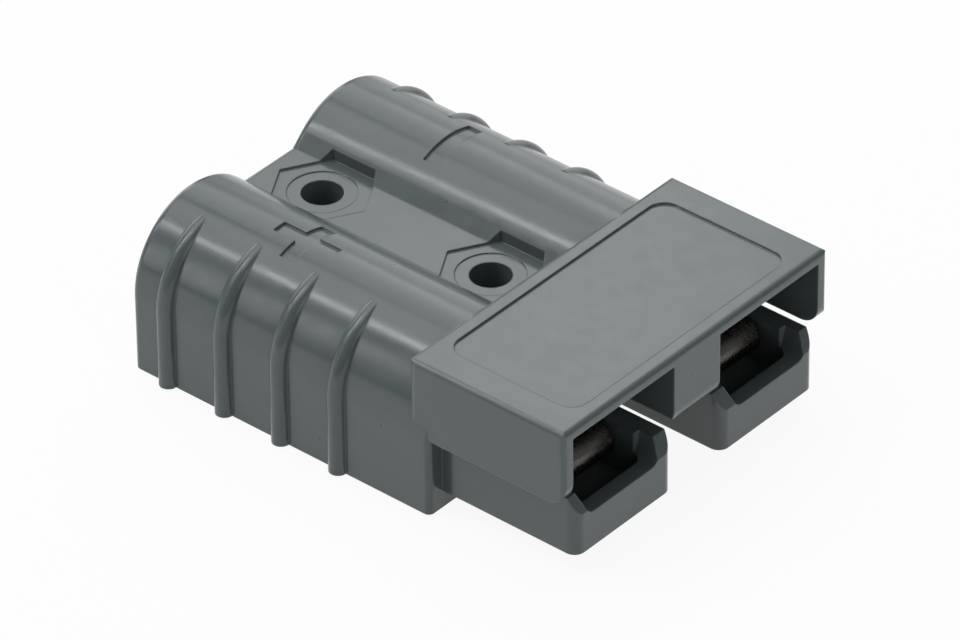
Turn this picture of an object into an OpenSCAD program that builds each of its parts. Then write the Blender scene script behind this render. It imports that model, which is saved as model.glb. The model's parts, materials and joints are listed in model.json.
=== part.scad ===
// Two-pole genderless power connector: a one-piece housing with a hood over two tongues,
// and in each pole a crimp contact pressed up by a leaf spring.
// The mating half is the same part turned half a turn about X, so the contact faces lie on
// the mid plane, half way up the body.
// X runs from the cable end (-) to the mating face (+), Y across the poles, Z up.
// The origin is on the underside, at the middle of the overall length.

/* [Body] */
// Overall length, from the cable end to the mating face
body_len = 50.3; // [47:0.1:60]
// Overall height, from the underside to the top of the hood and the barrels
body_h = 15.9; // [15.5:0.1:20]
// Distance between the centre lines of the two poles
pole_pitch = 20.3; // [19.8:0.1:26]
// Outer radius of each cable barrel
barrel_r = 8.1; // [7.9:0.1:9]
// Height of the web between the barrels
web_h = 12.5; // [11:0.1:13.5]
// Slope of the barrels' inner flanks where they run down to the web, in degrees
flank_deg = 43; // [34:1:48]
// Distance from the mating face back to the front of the lower body
mate_depth = 15.3; // [14.5:0.1:16.5]
// Radius of the edge round the cable end
rear_r = 0.7; // [0.3:0.05:0.9]
// Radius of the upright edges of the lower body
base_edge_r = 0.6; // [0.3:0.1:1.2]

/* [Mounting holes] */
// Diameter of the mounting holes
hole_d = 3.9; // [3:0.1:5]
// Distance from the cable end to the first hole
hole_x = 6.75; // [5.5:0.05:8]
// Distance between the two holes
hole_pitch = 19.9; // [18:0.1:22]
// Width of the hexagonal nut pocket round each hole, across its flats
pocket_af = 8.8; // [7.6:0.1:9.4]
// Depth of the pocket's floor below the web
pocket_sink = 0.2; // [0.1:0.05:0.5]
// Diameter of the shallow washer seat in the pocket's floor
seat_d = 6.5; // [5.6:0.1:7]

/* [Side ribs] */
// Number of grip ribs on each side
rib_count = 4; // [2:1:5]
// Distance from the cable end to the first rib
rib_x = 4.15; // [2.5:0.05:5]
// Distance between neighbouring ribs
rib_pitch = 6.73; // [4:0.01:7]
// Radius of the half-round rib
rib_r = 0.9; // [0.4:0.05:1.1]
// Height angle on the barrel at which a rib runs out, in degrees
rib_end_deg = 78; // [60:1:84]

/* [Hood] */
// How far the hood's upper part runs back over the lower body
hood_lap = 2.5; // [1.6:0.1:3.5]
// Thickness of the hood's top plate
plate_t = 1.0; // [0.8:0.05:1.6]
// How far the hood's sides stand in from the flat sides of the body
hood_step = 0.15; // [0.05:0.05:0.4]
// Thickness of the hood's side walls
hood_wall = 1.25; // [1:0.05:1.6]
// Width of the centre divider that hangs from the plate
divider_w = 6.3; // [5:0.1:6.4]
// Height of the divider's lower edge above the underside
divider_z = 9.1; // [8.6:0.1:11]
// Radius of the hood's outer edges
hood_edge_r = 0.5; // [0.3:0.05:0.7]
// Radius of the hood's rear upright edges
hood_corner_r = 0.9; // [0.6:0.1:1.2]
// Radius of the lower front corner of each side wall
skirt_r = 2.0; // [1:0.1:3]

/* [Label field] */
// Length of the sunk field on top of the hood
label_l = 14.6; // [10:0.1:15]
// Width of the sunk field
label_w = 29.6; // [20:0.1:31]
// Depth of the sunk field
label_depth = 0.2; // [0.1:0.05:0.4]
// Corner radius of the sunk field
label_r = 1.8; // [1:0.1:3]

/* [Tongues] */
// Width of the gap between the tongues
tongue_gap = 6.6; // [6.5:0.1:8]
// Width of each tongue
tongue_w = 13.2; // [12.4:0.1:13.3]
// Height of the tongues' underside
tongue_z = 1.85; // [1.6:0.05:2.1]
// Thickness of the tongue's floor
tray_floor = 1.2; // [0.8:0.1:1.4]
// Thickness of the tongue's front wall
front_wall = 1.6; // [1.2:0.1:2]
// Height of the front wall's edge in the mouth
mouth_z = 5.65; // [5:0.05:6]
// Width of the mouth at that edge
mouth_w = 9.3; // [8.4:0.1:9.6]
// Slope of the mouth's sides from upright, in degrees
mouth_deg = 17; // [10:1:25]
// Radius of the tongue's upright front edges
tongue_r = 1.1; // [0.6:0.1:1.4]
// Length of the chamfer on the front of the tongue's side walls
chamfer_l = 1.0; // [0.5:0.1:1.4]
// Height of that chamfer
chamfer_h = 1.8; // [0.8:0.1:2]

/* [Contacts] */
// Outer diameter of the crimp barrel
crimp_od = 8.0; // [7:0.1:8.4]
// Inner diameter of the crimp barrel
crimp_id = 6.1; // [5:0.1:6.4]
// Length of the crimp barrel
crimp_len = 11.5; // [9:0.1:12]
// Width of the contact's blade
blade_w = 8.4; // [7:0.1:8.6]
// Thickness of the contact's blade
blade_t = 1.5; // [1.2:0.1:1.7]
// Distance from the mating face back to the contact's nose
nose_back = 4.5; // [3.4:0.1:5]
// Length of the contact, from its nose to the rear of the crimp barrel
contact_len = 34; // [32:0.1:36]
// Length over which the crimp barrel flattens into the blade
taper_l = 3.2; // [2:0.1:4]
// Inner radius of the nose's curl
nose_r = 0.7; // [0.5:0.05:0.9]

/* [Springs] */
// Width of the leaf spring
spring_w = 6.6; // [5:0.1:7]
// Thickness of the leaf spring
spring_t = 0.5; // [0.3:0.05:0.6]
// Length of the spring's tail in its slot
spring_tail = 4.6; // [3:0.1:5.4]
// Length of the flat pad under the nose
spring_pad = 2.4; // [1.5:0.1:3]

/* [Cavities] */
// Diameter of the cable entry
entry_d = 11.0; // [10.4:0.1:11.4]
// Distance from the inner end of the cable entry to the crimp barrel
entry_gap = 1.0; // [0.5:0.1:2]
// Clearance of the crimp barrel in its bore, all round
crimp_gap = 0.15; // [0.1:0.05:0.25]
// Clearance of the blade in its channel, on each side
blade_gap = 0.2; // [0.1:0.05:0.3]
// Clearance over the blade in its channel
blade_head = 0.5; // [0.4:0.05:0.8]
// Clearance of the spring in its slot and under the blade
spring_gap = 0.05; // [0.03:0.01:0.1]
// Running clearance between the two mated halves
mate_gap = 0.2; // [0.1:0.05:0.4]

/* [Hidden] */
$fn = 64;
over = 1;                                  // how far cutting shapes run past a face
arc_step = 9;                              // degrees between the points of a bend
tray_gap = 0.35;                           // room beside the blade in the tray
rim_lap = 1;                               // degrees by which two cuts of the rear rim overlap
seat_depth = 0.1;                          // depth of the washer seat
slot_roof = 0.85;                          // plastic between the bore and the spring's slot

pole_y = pole_pitch / 2;
side_y = pole_y + barrel_r;                // flat side faces of the body
hood_y = side_y - hood_step;               // side faces of the hood
barrel_z = body_h - barrel_r;              // axis of barrels, bores and crimps
mate_z = body_h / 2;                       // plane on which the contact faces meet
base_len = body_len - mate_depth;          // front face of the lower body
hood_len = mate_depth + hood_lap;
hood_x = body_len - hood_len;              // rear face of the hood
skirt_z = mate_z + mate_gap / 2;           // lower edge of the hood's side walls
tongue_top = mate_z - mate_gap / 2;        // top of the tongues' side walls
tongue_y = (tongue_gap + tongue_w) / 2;    // middle of a tongue, its tray lies about pole_y
tray_w = blade_w + 2 * tray_gap;           // width of the tray in a tongue
tray_z = tongue_z + tray_floor;            // floor of the tray
tray_r = 1;                                // corner radius of the tray
mouth_r = 1;                               // corner radius at the foot of the mouth

flank_y = pole_y - barrel_r * sin(flank_deg);          // where the round meets the slope
flank_z = barrel_z + barrel_r * cos(flank_deg);
crease_y = flank_y - (flank_z - web_h) / tan(flank_deg);
flank_run = (flank_y - crease_y) / cos(flank_deg);     // length of the slope
pocket_r = pocket_af / sqrt(3);                        // to the corners of the hexagon
seat_z = web_h - pocket_sink - seat_depth;             // floor of the washer seat

nose_x = body_len - nose_back;             // front of the contact's nose
crimp_x = nose_x - contact_len;            // rear end of the crimp barrel
blade_x = crimp_x + crimp_len + taper_l;   // rear end of the plain blade
entry_len = crimp_x - entry_gap;           // depth of the cable entry
bore_r = crimp_od / 2 + crimp_gap;         // bore that holds the crimp barrel
bore_end = blade_x;                        // step at which the bore becomes a channel
curl_r = nose_r + blade_t;                 // outer radius of the curl
curl_x = nose_x - curl_r;                  // centre of the curl
curl_z = mate_z - curl_r;
curl_end = -12;                            // angle at which the curl's lip ends

slot_h = spring_t + 2 * spring_gap;        // height of the slot that holds the spring's tail
slot_z = barrel_z - bore_r - slot_roof - slot_h;       // floor of the slot and the channel
slot_x = bore_end - spring_tail;           // blind end of the slot
bend_r = 1.5;                              // inner radius of the spring's bends
pad_z = mate_z - blade_t - spring_gap;     // upper face of the spring's pad
tip_x = curl_x - spring_gap;               // front edge of the spring

// ---------- helpers ----------

// Turns an outline drawn in Y and Z into a bar along X, from x0 to x1.
module along_x(x0, x1)
    translate([x0, 0, 0]) rotate([90, 0, 90]) linear_extrude(x1 - x0) children();

// Turns an outline drawn in X and Z into a bar along Y, centred on y.
module across_y(y, width)
    translate([0, y + width / 2, 0]) rotate([90, 0, 0]) linear_extrude(width) children();

// Points of an arc round c, from angle a0 to angle a1.
function arc(c, r, a0, a1) =
    let (n = max(2, ceil(abs(a1 - a0) / arc_step)))
    [for (i = [0:n]) c + r * [cos(a0 + (a1 - a0) * i / n), sin(a0 + (a1 - a0) * i / n)]];

// Rectangle from p0 to p1 whose corners have the radii r = [x0y0, x1y0, x1y1, x0y1].
module rounded(p0, p1, r)
    difference() {
        translate(p0) square(p1 - p0);
        translate(p0) corner(r[0], 0);
        translate([p1.x, p0.y]) corner(r[1], 90);
        translate(p1) corner(r[2], 180);
        translate([p0.x, p1.y]) corner(r[3], 270);
    }

// What a rounded corner leaves out of a square one at the origin, turned by deg.
module corner(r, deg)
    if (r > 0)
        rotate(deg) difference() {
            translate([-over, -over]) square(r + over);
            translate([r, r]) circle(r);
            translate([r, -2 * over]) square([2 * over, r + 4 * over]);
        }

module both_poles() {
    children();
    mirror([0, 1, 0]) children();
}

// ---------- housing ----------

// Half section of the rear body: barrel, flat side and half the web.
module barrel_section()
    intersection() {
        union() {
            translate([pole_y, barrel_z]) circle(barrel_r);
            square([side_y, barrel_z]);
            polygon([[0, 0], [0, web_h], [crease_y, web_h], [flank_y, flank_z],
                     [pole_y, barrel_z], [pole_y, 0]]);
        }
        square([side_y, body_h]);
    }

// Rear body with rounded upright edges and a rounded cable end.
module rear_body()
    difference() {
        intersection() {
            both_poles() along_x(0, base_len) barrel_section();
            linear_extrude(body_h)
                rounded([0, -side_y], [base_len, side_y],
                        [rear_r, base_edge_r, base_edge_r, rear_r]);
        }
        both_poles() {
            rear_rim();
            translate([0, crease_y, web_h]) {
                rotate([flank_deg, 0, 0]) straight_rim(flank_run);
                mirror([0, 1, 0]) straight_rim(crease_y + over);
            }
        }
    }

// Cut that rounds the edge of one barrel's end, from its flat side up and over to the flank.
module rear_rim()
    translate([0, pole_y, barrel_z]) rotate([90, 0, 90])
        rotate_extrude(angle = 90 + flank_deg + rim_lap)
            translate([barrel_r, 0]) corner(rear_r, 90);

// The same rounding along a straight edge that starts at the crease, where it is mitred.
module straight_rim(run) {
    mitre = rear_r * tan(flank_deg / 2);
    intersection() {
        across_y((run - mitre) / 2, run + mitre) corner(rear_r, 270);
        along_x(-over, rear_r + over)
            polygon([[0, over], [run, over], [run, -rear_r], [-mitre, -rear_r], [0, 0]]);
    }
}

// One half-round rib: straight up the side, then sinking into the barrel near its crest.
module rib(x) {
    shift = rib_r / (1 - cos(rib_end_deg));
    translate([x, side_y, 0]) cylinder(r = rib_r, h = barrel_z);
    translate([x, pole_y + shift, barrel_z]) rotate([90, 0, 90])
        rotate_extrude(angle = rib_end_deg) translate([barrel_r - shift, 0]) circle(rib_r);
}

module ribs()
    for (i = [0:rib_count - 1]) rib(rib_x + i * rib_pitch);

// Outer form of the hood, solid, down to the lower edge of its side walls.
module hood_block()
    intersection() {
        across_y(0, 2 * hood_y)
            rounded([hood_x, skirt_z], [body_len, body_h],
                    [0, skirt_r, hood_edge_r, hood_edge_r]);
        along_x(hood_x, body_len)
            rounded([-hood_y, 0], [hood_y, body_h], [0, 0, hood_edge_r, hood_edge_r]);
        linear_extrude(body_h)
            rounded([hood_x, -hood_y], [body_len, hood_y],
                    [hood_corner_r, hood_edge_r, hood_edge_r, hood_corner_r]);
    }

// Hollow under the hood on one side, between the divider and the side wall.
module hood_hollow()
    translate([base_len, divider_w / 2, skirt_z - over])
        cube([hood_len, hood_y - hood_wall - divider_w / 2, body_h - plate_t - skirt_z + over]);

module hood()
    difference() {
        hood_block();
        both_poles() hood_hollow();
        translate([base_len, -divider_w, skirt_z - over])
            cube([hood_len, 2 * divider_w, divider_z - skirt_z + over]);
    }

module label_field()
    translate([0, 0, body_h - label_depth]) linear_extrude(over)
        rounded([body_len - (hood_len + label_l) / 2, -label_w / 2],
                [body_len - (hood_len - label_l) / 2, label_w / 2],
                [label_r, label_r, label_r, label_r]);

// One tongue, before its tray and mouth are cut.
module tongue()
    intersection() {
        translate([0, 0, tongue_z]) linear_extrude(tongue_top - tongue_z)
            rounded([base_len - over, tongue_y - tongue_w / 2],
                    [body_len, tongue_y + tongue_w / 2], [0, tongue_r, tongue_r, 0]);
        across_y(tongue_y, tongue_w)
            polygon([[base_len - over, 0], [body_len, 0], [body_len, tongue_top - chamfer_h],
                     [body_len - chamfer_l, tongue_top], [base_len - over, tongue_top]]);
    }

// Mouth through the front wall: sloped sides and rounded foot, in Y and Z.
module mouth_outline() {
    w = mouth_w / 2;
    rise = body_h - mouth_z;
    spread = rise * tan(mouth_deg);
    turn = 90 - mouth_deg;
    inset = mouth_r * tan(turn / 2);
    polygon(concat(
        [[-w - spread, mouth_z + rise]],
        arc([-w + inset, mouth_z + mouth_r], mouth_r, 270 - turn, 270),
        arc([w - inset, mouth_z + mouth_r], mouth_r, 270, 270 + turn),
        [[w + spread, mouth_z + rise]]));
}

// Everything that is open inside one pole: entry, bore, channel, spring slot, tray and mouth.
module pole_cavity() {
    translate([0, pole_y, barrel_z]) rotate([0, 90, 0]) {
        translate([0, 0, -over]) cylinder(d = entry_d, h = entry_len + over);
        cylinder(r = bore_r, h = bore_end);
    }
    translate([bore_end - over, pole_y - blade_w / 2 - blade_gap, slot_z])
        cube([base_len - bore_end + 2 * over, blade_w + 2 * blade_gap,
              mate_z + blade_head - slot_z]);
    translate([slot_x, pole_y - spring_w / 2 - blade_gap, slot_z])
        cube([spring_tail + over, spring_w + 2 * blade_gap, slot_h]);
    translate([0, 0, tray_z]) linear_extrude(body_h / 2 - tray_z)
        rounded([base_len - over, pole_y - tray_w / 2],
                [body_len - front_wall, pole_y + tray_w / 2], [0, tray_r, tray_r, 0]);
    translate([0, pole_y, 0]) intersection() {
        along_x(body_len - front_wall - tray_r, body_len + over) mouth_outline();
        translate([body_len - front_wall - tray_r, -tongue_w / 2, 0])
            cube([front_wall + tray_r + over, tongue_w, mate_z]);
    }
}

// Through hole with a washer seat in a hexagonal pocket, whose flats lie along X.
module mounting_hole(x)
    translate([x, 0, 0]) {
        translate([0, 0, -over]) cylinder(d = hole_d, h = body_h + 2 * over);
        translate([0, 0, seat_z]) cylinder(d = seat_d, h = body_h);
        translate([0, 0, web_h - pocket_sink]) linear_extrude(body_h)
            polygon([for (i = [0:5]) pocket_r * [cos(60 * i), sin(60 * i)]]);
    }

module housing()
    color([0.42, 0.44, 0.45])
        difference() {
            union() {
                rear_body();
                both_poles() ribs();
                hood();
                both_poles() tongue();
            }
            both_poles() pole_cavity();
            label_field();
            mounting_hole(hole_x);
            mounting_hole(hole_x + hole_pitch);
        }

// ---------- contacts ----------

// Side view of the blade and its curled nose, in X and Z.
module blade_profile()
    polygon(concat(
        [[blade_x, mate_z - blade_t], [blade_x, mate_z]],
        arc([curl_x, curl_z], curl_r, 90, curl_end),
        arc([curl_x, curl_z], nose_r, curl_end, 90)));

// Side view of the stretch that flattens the crimp barrel into the blade.
module taper_profile() {
    x = crimp_x + crimp_len;
    polygon([[x - over, barrel_z - crimp_od], [x, barrel_z - crimp_od / 2],
             [blade_x, mate_z - blade_t], [blade_x + over, mate_z - blade_t],
             [blade_x + over, mate_z], [blade_x, mate_z],
             [x, barrel_z + crimp_od / 2], [x - over, barrel_z + crimp_od]]);
}

module contact()
    difference() {
        union() {
            across_y(pole_y, blade_w) blade_profile();
            intersection() {
                translate([crimp_x, pole_y, barrel_z]) rotate([0, 90, 0])
                    cylinder(d = crimp_od, h = crimp_len + taper_l + over);
                union() {
                    across_y(pole_y, crimp_od + over) taper_profile();
                    translate([crimp_x, pole_y - crimp_od, barrel_z - crimp_od])
                        cube([crimp_len, 2 * crimp_od, 2 * crimp_od]);
                }
            }
        }
        translate([crimp_x - over, pole_y, barrel_z]) rotate([0, 90, 0])
            cylinder(d = crimp_id, h = crimp_len - over / 2 + over);
    }

module contact_positive()
    color([0.80, 0.79, 0.75]) mirror([0, 1, 0]) contact();

module contact_negative()
    color([0.80, 0.79, 0.75]) contact();

// ---------- springs ----------

// Side view of the leaf: tail in the slot, ramp, and a flat pad under the contact's nose.
module spring_profile() {
    z0 = slot_z + spring_gap;                     // underside of the tail
    ramp_x0 = bore_end + blade_gap;               // first bend
    ramp_x1 = tip_x - spring_pad;                 // second bend
    rise = pad_z - spring_t - z0;                 // climb of the underside
    outer = bend_r + spring_t;
    // Angle of the ramp, so that both bends are tangent to it.
    run = ramp_x1 - ramp_x0;
    reach = bend_r + outer;
    a = 2 * atan((run - sqrt(max(0, run * run - rise * (2 * reach - rise)))) / (2 * reach - rise));
    polygon(concat(
        [[slot_x + spring_gap, z0 + spring_t], [slot_x + spring_gap, z0]],
        arc([ramp_x0, z0 + outer], outer, -90, -90 + a),
        arc([ramp_x1, pad_z - spring_t - bend_r], bend_r, 90 + a, 90),
        [[tip_x, pad_z - spring_t], [tip_x, pad_z]],
        arc([ramp_x1, pad_z - outer], outer, 90, 90 + a),
        arc([ramp_x0, z0 + outer], bend_r, -90 + a, -90)));
}

module spring()
    across_y(pole_y, spring_w) spring_profile();

module spring_positive()
    color([0.62, 0.63, 0.65]) mirror([0, 1, 0]) spring();

module spring_negative()
    color([0.62, 0.63, 0.65]) spring();

// ---------- the part, moved to its origin ----------

translate([-body_len / 2, 0, 0]) {
    housing();
    contact_positive();
    contact_negative();
    spring_positive();
    spring_negative();
}
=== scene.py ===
"""Looks of a genderless power connector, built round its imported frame.

The grey housing is a copy of the CAD housing with the polarity signs sunk into its barrels.
The contacts and springs are the CAD's own solids with metal materials.
"""

import json
import math

import bmesh
import bpy
from mathutils import Matrix, Vector
from mathutils.bvhtree import BVHTree
from mathutils.geometry import barycentric_transform


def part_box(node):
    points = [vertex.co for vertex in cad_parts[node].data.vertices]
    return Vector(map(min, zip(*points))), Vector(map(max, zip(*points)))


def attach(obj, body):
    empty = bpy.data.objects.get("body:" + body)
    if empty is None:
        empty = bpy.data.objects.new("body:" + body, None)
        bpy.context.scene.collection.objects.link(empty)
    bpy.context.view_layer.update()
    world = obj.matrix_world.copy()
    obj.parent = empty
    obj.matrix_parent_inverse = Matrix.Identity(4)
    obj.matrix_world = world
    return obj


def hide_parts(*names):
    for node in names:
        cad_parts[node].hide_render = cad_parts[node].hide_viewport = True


MM = 0.001

# ---------- the frame and what is worked out from it ----------

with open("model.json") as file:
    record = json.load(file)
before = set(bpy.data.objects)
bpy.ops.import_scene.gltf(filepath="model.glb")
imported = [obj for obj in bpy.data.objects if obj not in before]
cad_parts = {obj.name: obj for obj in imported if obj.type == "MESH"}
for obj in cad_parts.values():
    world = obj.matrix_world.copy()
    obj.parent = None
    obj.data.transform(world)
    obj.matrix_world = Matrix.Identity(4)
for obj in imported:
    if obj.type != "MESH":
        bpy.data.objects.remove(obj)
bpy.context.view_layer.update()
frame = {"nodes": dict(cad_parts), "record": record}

mounts = {m["name"]: m for m in frame["record"]["mounts"]}
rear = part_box("housing")[0].x                       # cable end
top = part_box("housing")[1].z
barrel_y = abs(mounts["cable_entry_positive"]["pos_m"][1])
barrel_z = mounts["cable_entry_positive"]["pos_m"][2]
barrel_r = top - barrel_z

# ---------- polarity signs ----------

SIGN_DEPTH = 0.25 * MM
SIGN_CLEAR = 1 * MM          # how far a cutter stands proud of the barrel
SIGN_STEPS = 24              # flats round the barrel in a cutter
SIGN_BAR = 1.6 * MM          # width of a stroke
PLUS_X = 14.05 * MM          # middle of the plus, from the cable end
PLUS_LEN = 6.7 * MM          # its stroke along the barrel
PLUS_SPAN = 5.9 * MM         # its stroke across the barrel
MINUS_X = 13.85 * MM
MINUS_SPAN = 6.6 * MM
MINUS_SHIFT = -0.35 * MM     # from the barrel's crest, towards the web

# ---------- handing normals over to the cut housing ----------

WELD = 1e-7                  # metres within which two corners are one
SAME_PLACE = 1e-6            # metres within which two surfaces are the same
SAME_FACING = 0.99           # least dot product of two normals that agree
ROUND_FACING = 0.9           # the same for a sign's floor and the barrel's round
INWARD = 0.02                # share of the way in from a corner at which its face is looked up

# ---------- camera ----------

AZIMUTH, ELEVATION, ROLL = 40.86, 35.85, -0.67      # degrees
DISTANCE = 0.7875
AIM = Vector((-1.78, 0, 5.74)) * MM
AIM_RIGHT, AIM_UP = 1.47 * MM, 0.01 * MM            # framing
LENS, SENSOR = 330.7, 36
NEAREST, FARTHEST = 0.05, 20                        # metres that the camera sees between


def add_to_scene(obj):
    bpy.context.scene.collection.objects.link(obj)
    return obj


def place_camera():
    """A long lens that looks down on the mating face and the positive side."""
    a, e, r = (math.radians(v) for v in (AZIMUTH, ELEVATION, ROLL))
    back = Vector((math.sin(a) * math.cos(e), -math.cos(a) * math.cos(e), math.sin(e)))
    level = Vector((math.cos(a), math.sin(a), 0))
    upright = back.cross(level)
    right = level * math.cos(r) + upright * math.sin(r)
    up = upright * math.cos(r) - level * math.sin(r)
    camera = add_to_scene(bpy.data.objects.new("camera", bpy.data.cameras.new("camera")))
    camera.data.lens, camera.data.sensor_width = LENS, SENSOR
    camera.data.clip_start, camera.data.clip_end = NEAREST, FARTHEST
    place = AIM + back * DISTANCE + right * AIM_RIGHT + up * AIM_UP
    turn = Matrix((right, up, back)).transposed().to_4x4()
    camera.matrix_world = Matrix.Translation(place) @ turn
    bpy.context.scene.camera = camera


# ---------- material helpers ----------

MIX_COLOUR_INPUTS = (0, 6, 7)                       # a Mix node's factor and two colours
MIX_COLOUR_OUTPUT = 2


class Shader:
    """A material's node tree, built by short calls that return output sockets."""

    def __init__(self, name):
        self.material = bpy.data.materials.new(name)
        self.material.use_nodes = True
        self.nodes = self.material.node_tree.nodes
        self.links = self.material.node_tree.links
        self.surface = self.nodes["Principled BSDF"]

    def node(self, kind, **inputs):
        """A node of that kind with its inputs set by name; a socket given as a value is linked."""
        made = self.nodes.new("ShaderNode" + kind)
        for name, value in inputs.items():
            self.set(made, name.replace("_", " "), value)
        return made

    def set(self, node, name, value):
        """Links or sets the input of that name or number."""
        socket = node.inputs[name]
        if isinstance(value, bpy.types.NodeSocket):
            self.links.new(value, socket)
        else:
            socket.default_value = value

    def position(self):
        return self.node("TexCoord").outputs["Object"]

    def noise(self, size, detail=3, rough=0.5, stretch=None):
        """Noise whose grains are about size metres, 0 to 1."""
        vector = self.position()
        if stretch:
            mapping = self.node("Mapping", Vector=vector, Scale=stretch)
            vector = mapping.outputs["Vector"]
        made = self.node("TexNoise", Vector=vector, Scale=1 / size, Detail=detail, Roughness=rough)
        return made.outputs["Fac"]

    def ramp(self, value, low, high, to_low=0.0, to_high=1.0):
        """Carries value's range low to high over to to_low to to_high."""
        made = self.node(
            "MapRange", Value=value, From_Min=low, From_Max=high, To_Min=to_low, To_Max=to_high
        )
        return made.outputs["Result"]

    def blend(self, factor, a, b):
        """Colour between a and b by factor."""
        made = self.nodes.new("ShaderNodeMix")
        made.data_type = "RGBA"
        for number, value in zip(MIX_COLOUR_INPUTS, (factor, a, b)):
            self.set(made, number, value)
        return made.outputs[MIX_COLOUR_OUTPUT]

    def bump(self, height, distance, strength, normal):
        """Fine relief by height on top of normal."""
        made = self.node(
            "Bump", Height=height, Distance=distance, Strength=strength, Normal=normal
        )
        return made.outputs["Normal"]

    def soft_edges(self, radius, samples=6):
        """Normals that round off sharp edges."""
        made = self.node("Bevel", Radius=radius)
        made.samples = samples
        return made.outputs["Normal"]

    def finish(self, **inputs):
        """Sets the surface's inputs by name and returns the material."""
        for name, value in inputs.items():
            self.set(self.surface, name.replace("_", " "), value)
        return self.material


# ---------- materials ----------

GREY, GREY_LIGHT = (0.092, 0.112, 0.115, 1), (0.099, 0.120, 0.123, 1)
DUST = (0.03, 0.03, 0.03, 1)
DUST_SPACING = 4.5 * MM
DUST_RIM, DUST_CORE = 0.024, 0.014                  # shares of the spacing
# silver colours set far darker than real silver: painted shade, so the contacts read dark in the
# trays; the two tones are tarnish
SILVER_PAINTED_SHADE, TARNISHED_SILVER_PAINTED_SHADE = (0.24, 0.23, 0.21, 1), (0.18, 0.16, 0.13, 1)
STEEL, STEEL_BRIGHT = (0.56, 0.57, 0.59, 1), (0.68, 0.69, 0.71, 1)


def moulded_plastic():
    """Semi-gloss grey with a faint flow mottle, a fine skin and a few specks of dust."""
    s = Shader("moulded_plastic")
    mottle = s.ramp(s.noise(4 * MM, detail=4), 0.3, 0.7)
    colour = s.blend(mottle, GREY, GREY_LIGHT)
    specks = s.node("TexVoronoi", Vector=s.position(), Scale=1 / DUST_SPACING, Randomness=1)
    near = s.ramp(specks.outputs["Distance"], DUST_RIM, DUST_CORE)
    colour = s.blend(near, colour, DUST)
    skin = s.noise(0.35 * MM, detail=2)
    normal = s.bump(skin, 0.002 * MM, 1.0, s.soft_edges(0.2 * MM))
    gloss = s.ramp(s.noise(1.5 * MM), 0.3, 0.7, 0.16, 0.22)
    return s.finish(Base_Color=colour, Roughness=gloss, Normal=normal, IOR=1.5)


def silver_plate_painted_shade():
    """Silver-plated copper with a dull finish, its colour darkened by painted shade so it stays
    dark in the trays; slightly brushed along the blade.
    """
    s = Shader("silver_plate_painted_shade")
    tarnish = s.ramp(s.noise(2.5 * MM, detail=4), 0.35, 0.75)
    # tarnish mottle between two silvers that both carry painted shade
    colour = s.blend(tarnish, SILVER_PAINTED_SHADE, TARNISHED_SILVER_PAINTED_SHADE)
    lines = s.noise(0.25 * MM, detail=2, stretch=(0.1, 1, 1))
    normal = s.bump(lines, 0.001 * MM, 0.6, s.soft_edges(0.12 * MM))
    gloss = s.ramp(lines, 0.3, 0.7, 0.22, 0.34)
    return s.finish(Base_Color=colour, Metallic=1.0, Roughness=gloss, Normal=normal)


def spring_steel():
    """Rolled strip with fine lines along it."""
    s = Shader("spring_steel")
    lines = s.noise(0.12 * MM, detail=2, stretch=(0.06, 1, 1))
    colour = s.blend(lines, STEEL, STEEL_BRIGHT)
    normal = s.bump(lines, 0.003 * MM, 0.6, s.soft_edges(0.08 * MM))
    gloss = s.ramp(lines, 0.3, 0.7, 0.22, 0.38)
    return s.finish(Base_Color=colour, Metallic=1.0, Roughness=gloss, Normal=normal)


# ---------- the housing with its signs ----------


def stroke(bm, x, y, length, width):
    """Adds a stroke of a sign to bm, with its centre at x, y: a bar bent round the barrel's axis.

    It reaches from SIGN_DEPTH under the barrel's surface to well above it.
    """
    low, high = barrel_r - SIGN_DEPTH, barrel_r + SIGN_CLEAR
    corners = ((-length / 2, low), (length / 2, low), (length / 2, high), (-length / 2, high))
    axis_y = math.copysign(barrel_y, y)
    rings = []
    for i in range(SIGN_STEPS + 1):
        angle = ((y - axis_y) + width * (i / SIGN_STEPS - 0.5)) / barrel_r
        across, upward = math.sin(angle), math.cos(angle)
        rings.append([
            bm.verts.new((x + along, axis_y + r * across, barrel_z + r * upward))
            for along, r in corners
        ])
    for a, b in zip(rings, rings[1:]):
        for i in range(len(corners)):
            j = (i + 1) % len(corners)
            bm.faces.new((a[i], a[j], b[j], b[i]))
    bm.faces.new(rings[0][::-1])
    bm.faces.new(rings[-1])


def cutters(name, strokes):
    """One closed mesh object for each stroke, which is only used to cut."""
    made = []
    for i, place_and_size in enumerate(strokes):
        bm = bmesh.new()
        stroke(bm, *place_and_size)
        bmesh.ops.recalc_face_normals(bm, faces=bm.faces)
        mesh = bpy.data.meshes.new(f"{name}_{i}")
        bm.to_mesh(mesh)
        bm.free()
        made.append(add_to_scene(bpy.data.objects.new(f"{name}_{i}", mesh)))
    return made


def sign_cutters():
    """A plus for the positive barrel and a minus for the other."""
    plus_x, minus_x = rear + PLUS_X, rear + MINUS_X
    minus_y = barrel_y + MINUS_SHIFT
    plus = [
        (plus_x, -barrel_y, PLUS_LEN, SIGN_BAR),
        (plus_x, -barrel_y, SIGN_BAR, PLUS_SPAN),
    ]
    minus = [(minus_x, minus_y, SIGN_BAR, MINUS_SPAN)]
    return cutters("plus", plus) + cutters("minus", minus)


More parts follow.
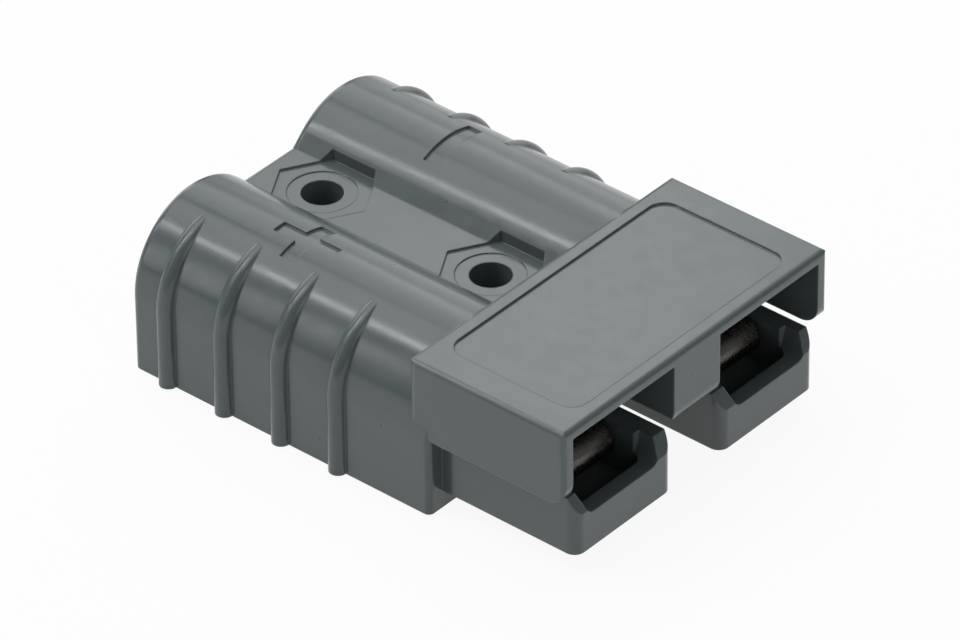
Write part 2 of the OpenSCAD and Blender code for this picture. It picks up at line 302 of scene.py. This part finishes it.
def keep_normals(mesh, source):
    """Gives mesh the exact normals of source, and the signs' own to the faces they cut."""
    source.calc_loop_triangles()
    exact = [Vector(n.vector) for n in source.corner_normals]
    points = [v.co for v in source.vertices]
    triangles = source.loop_triangles
    tree = BVHTree.FromPolygons(points, [t.vertices for t in triangles])
    normals = []
    for face in mesh.polygons:
        centre = face.center
        _, facing, _, gap = tree.find_nearest(centre)
        on_source = gap < SAME_PLACE and abs(facing.dot(face.normal)) > SAME_FACING
        for i in face.loop_indices:
            corner = mesh.vertices[mesh.loops[i].vertex_index].co
            if on_source:
                found = tree.find_nearest(corner.lerp(centre, INWARD))[2]
                spots = [points[v] for v in triangles[found].vertices]
                ends = [exact[k] for k in triangles[found].loops]
                normal = barycentric_transform(corner, *spots, *ends).normalized()
            else:
                normal = sign_normal(corner, face.normal)
            normals.append(normal)
    mesh.normals_split_custom_set(normals)


def sign_normal(point, flat):
    """The round normal on a sign's floor, and the flat one on its walls."""
    axis_y = math.copysign(barrel_y, point.y)
    outward = Vector((0, point.y - axis_y, point.z - barrel_z)).normalized()
    return outward if outward.dot(flat) > ROUND_FACING else flat.copy()


def dressed_housing():
    """The CAD housing with the signs cut in."""
    source = frame["nodes"]["housing"].data
    bm = bmesh.new()
    bm.from_mesh(source)
    bmesh.ops.remove_doubles(bm, verts=bm.verts, dist=WELD)
    mesh = bpy.data.meshes.new("housing_shell")
    bm.to_mesh(mesh)
    bm.free()
    shell = add_to_scene(bpy.data.objects.new("housing_shell", mesh))
    tools = sign_cutters()
    for tool in tools:
        cut = shell.modifiers.new(tool.name, "BOOLEAN")
        cut.operation, cut.object, cut.solver = "DIFFERENCE", tool, "EXACT"
    bpy.context.view_layer.update()
    cut_shell = shell.evaluated_get(bpy.context.evaluated_depsgraph_get())
    done = bpy.data.meshes.new_from_object(cut_shell)
    shell.modifiers.clear()
    shell.data = done
    for tool in tools:
        bpy.data.objects.remove(tool)
    for face in done.polygons:
        face.use_smooth = True
    keep_normals(done, source)
    return shell


def dress(obj, material):
    """Gives obj that one material."""
    obj.data.materials.clear()
    obj.data.materials.append(material)


# ---------- studio ----------

FLOOR_SIZE = 6.0             # metres
FLOOR_DROP = 0.02 * MM       # keeps the floor off the plane of the housing's foot
PAPER, PAPER_LIGHT = (0.84, 0.84, 0.84, 1), (0.87, 0.87, 0.87, 1)
FLOOR_GLOW = 0.92            # share of the floor that is plain white to the camera
PAPER_GRAIN = 0.2            # metres
WORLD_LEVEL = 0.15

# name, direction it shines from, distance, size, power, other size
LIGHTS = (
    ("key", (-0.25, -0.1, 1.0), 0.8, 0.7, 3.2, 0.7),
    ("strip_high", (-0.53, -0.334, 0.78), 0.6, 0.03, 0.62, 0.5),
    ("strip_low", (-0.53, -0.70, 0.486), 0.6, 0.05, 0.26, 0.5),
    ("crest", (-0.53, 0.47, 0.70), 0.7, 0.25, 0.48, 0.4),
    ("back", (-0.2, 0.95, 0.5), 1.0, 0.9, 3.2, 0.9),
    ("front", (1.0, 0.0, 0.5), 0.8, 0.5, 0.8, 0.5),
    ("rear", (-1.0, 0.35, 0.4), 0.9, 0.6, 1.8, 0.6),
)


def area_light(name, direction, distance, size, power, size_y):
    """A soft light that shines on the object from that direction."""
    data = bpy.data.lights.new(name, "AREA")
    data.shape = "RECTANGLE"
    data.size, data.size_y = size, size_y
    data.energy = power
    light = add_to_scene(bpy.data.objects.new(name, data))
    toward = Vector(direction).normalized()
    light.location = toward * distance
    light.rotation_mode = "QUATERNION"
    light.rotation_quaternion = toward.to_track_quat("Z", "Y")


def seen_directly(s):
    """1 for camera, glossy and transmission rays, 0 for the light that falls on things."""
    rays = s.node("LightPath").outputs
    most = rays["Is Camera Ray"]
    for name in ("Is Glossy Ray", "Is Transmission Ray"):
        larger = s.nodes.new("ShaderNodeMath")
        larger.operation = "MAXIMUM"
        s.links.new(most, larger.inputs[0])
        s.links.new(rays[name], larger.inputs[1])
        most = larger.outputs[0]
    return most


def floor_material():
    """A white sheet that is seen as plain white wherever no shadow falls."""
    s = Shader("floor_sheet")
    s.nodes.remove(s.surface)
    paper = s.blend(s.noise(PAPER_GRAIN, detail=2), PAPER, PAPER_LIGHT)
    diffuse = s.node("BsdfDiffuse", Color=paper)
    glow = s.node("Emission", Strength=1.0)
    share = s.node("Math")
    share.operation = "MULTIPLY"
    s.links.new(seen_directly(s), share.inputs[0])
    share.inputs[1].default_value = FLOOR_GLOW
    mix = s.nodes.new("ShaderNodeMixShader")
    for socket, value in zip(mix.inputs, (share.outputs[0], diffuse.outputs[0], glow.outputs[0])):
        s.links.new(value, socket)
    s.links.new(mix.outputs[0], s.nodes["Material Output"].inputs["Surface"])
    return s.material


def build_floor():
    """A large sheet just under the housing's foot."""
    bm = bmesh.new()
    bmesh.ops.create_grid(bm, x_segments=1, y_segments=1, size=FLOOR_SIZE / 2)
    mesh = bpy.data.meshes.new("floor")
    bm.to_mesh(mesh)
    bm.free()
    floor = add_to_scene(bpy.data.objects.new("floor", mesh))
    floor.location.z = -FLOOR_DROP
    dress(floor, floor_material())


def build_studio():
    """An even, dim world and the lights."""
    scene = bpy.context.scene
    scene.view_settings.view_transform = "Standard"
    scene.world = bpy.data.worlds.new("studio")
    scene.world.use_nodes = True
    sky = scene.world.node_tree.nodes["Background"]
    sky.inputs["Color"].default_value = (1, 1, 1, 1)
    sky.inputs["Strength"].default_value = WORLD_LEVEL
    for light in LIGHTS:
        area_light(*light)


# ---------- the scene ----------

shell = dressed_housing()
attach(shell, "root")
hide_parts("housing")
dress(shell, moulded_plastic())
shaded_silver, steel = silver_plate_painted_shade(), spring_steel()
for pole in ("positive", "negative"):
    # the contacts get the silver that carries painted shade
    dress(frame["nodes"]["contact_" + pole], shaded_silver)
    dress(frame["nodes"]["spring_" + pole], steel)

place_camera()
build_studio()
build_floor()
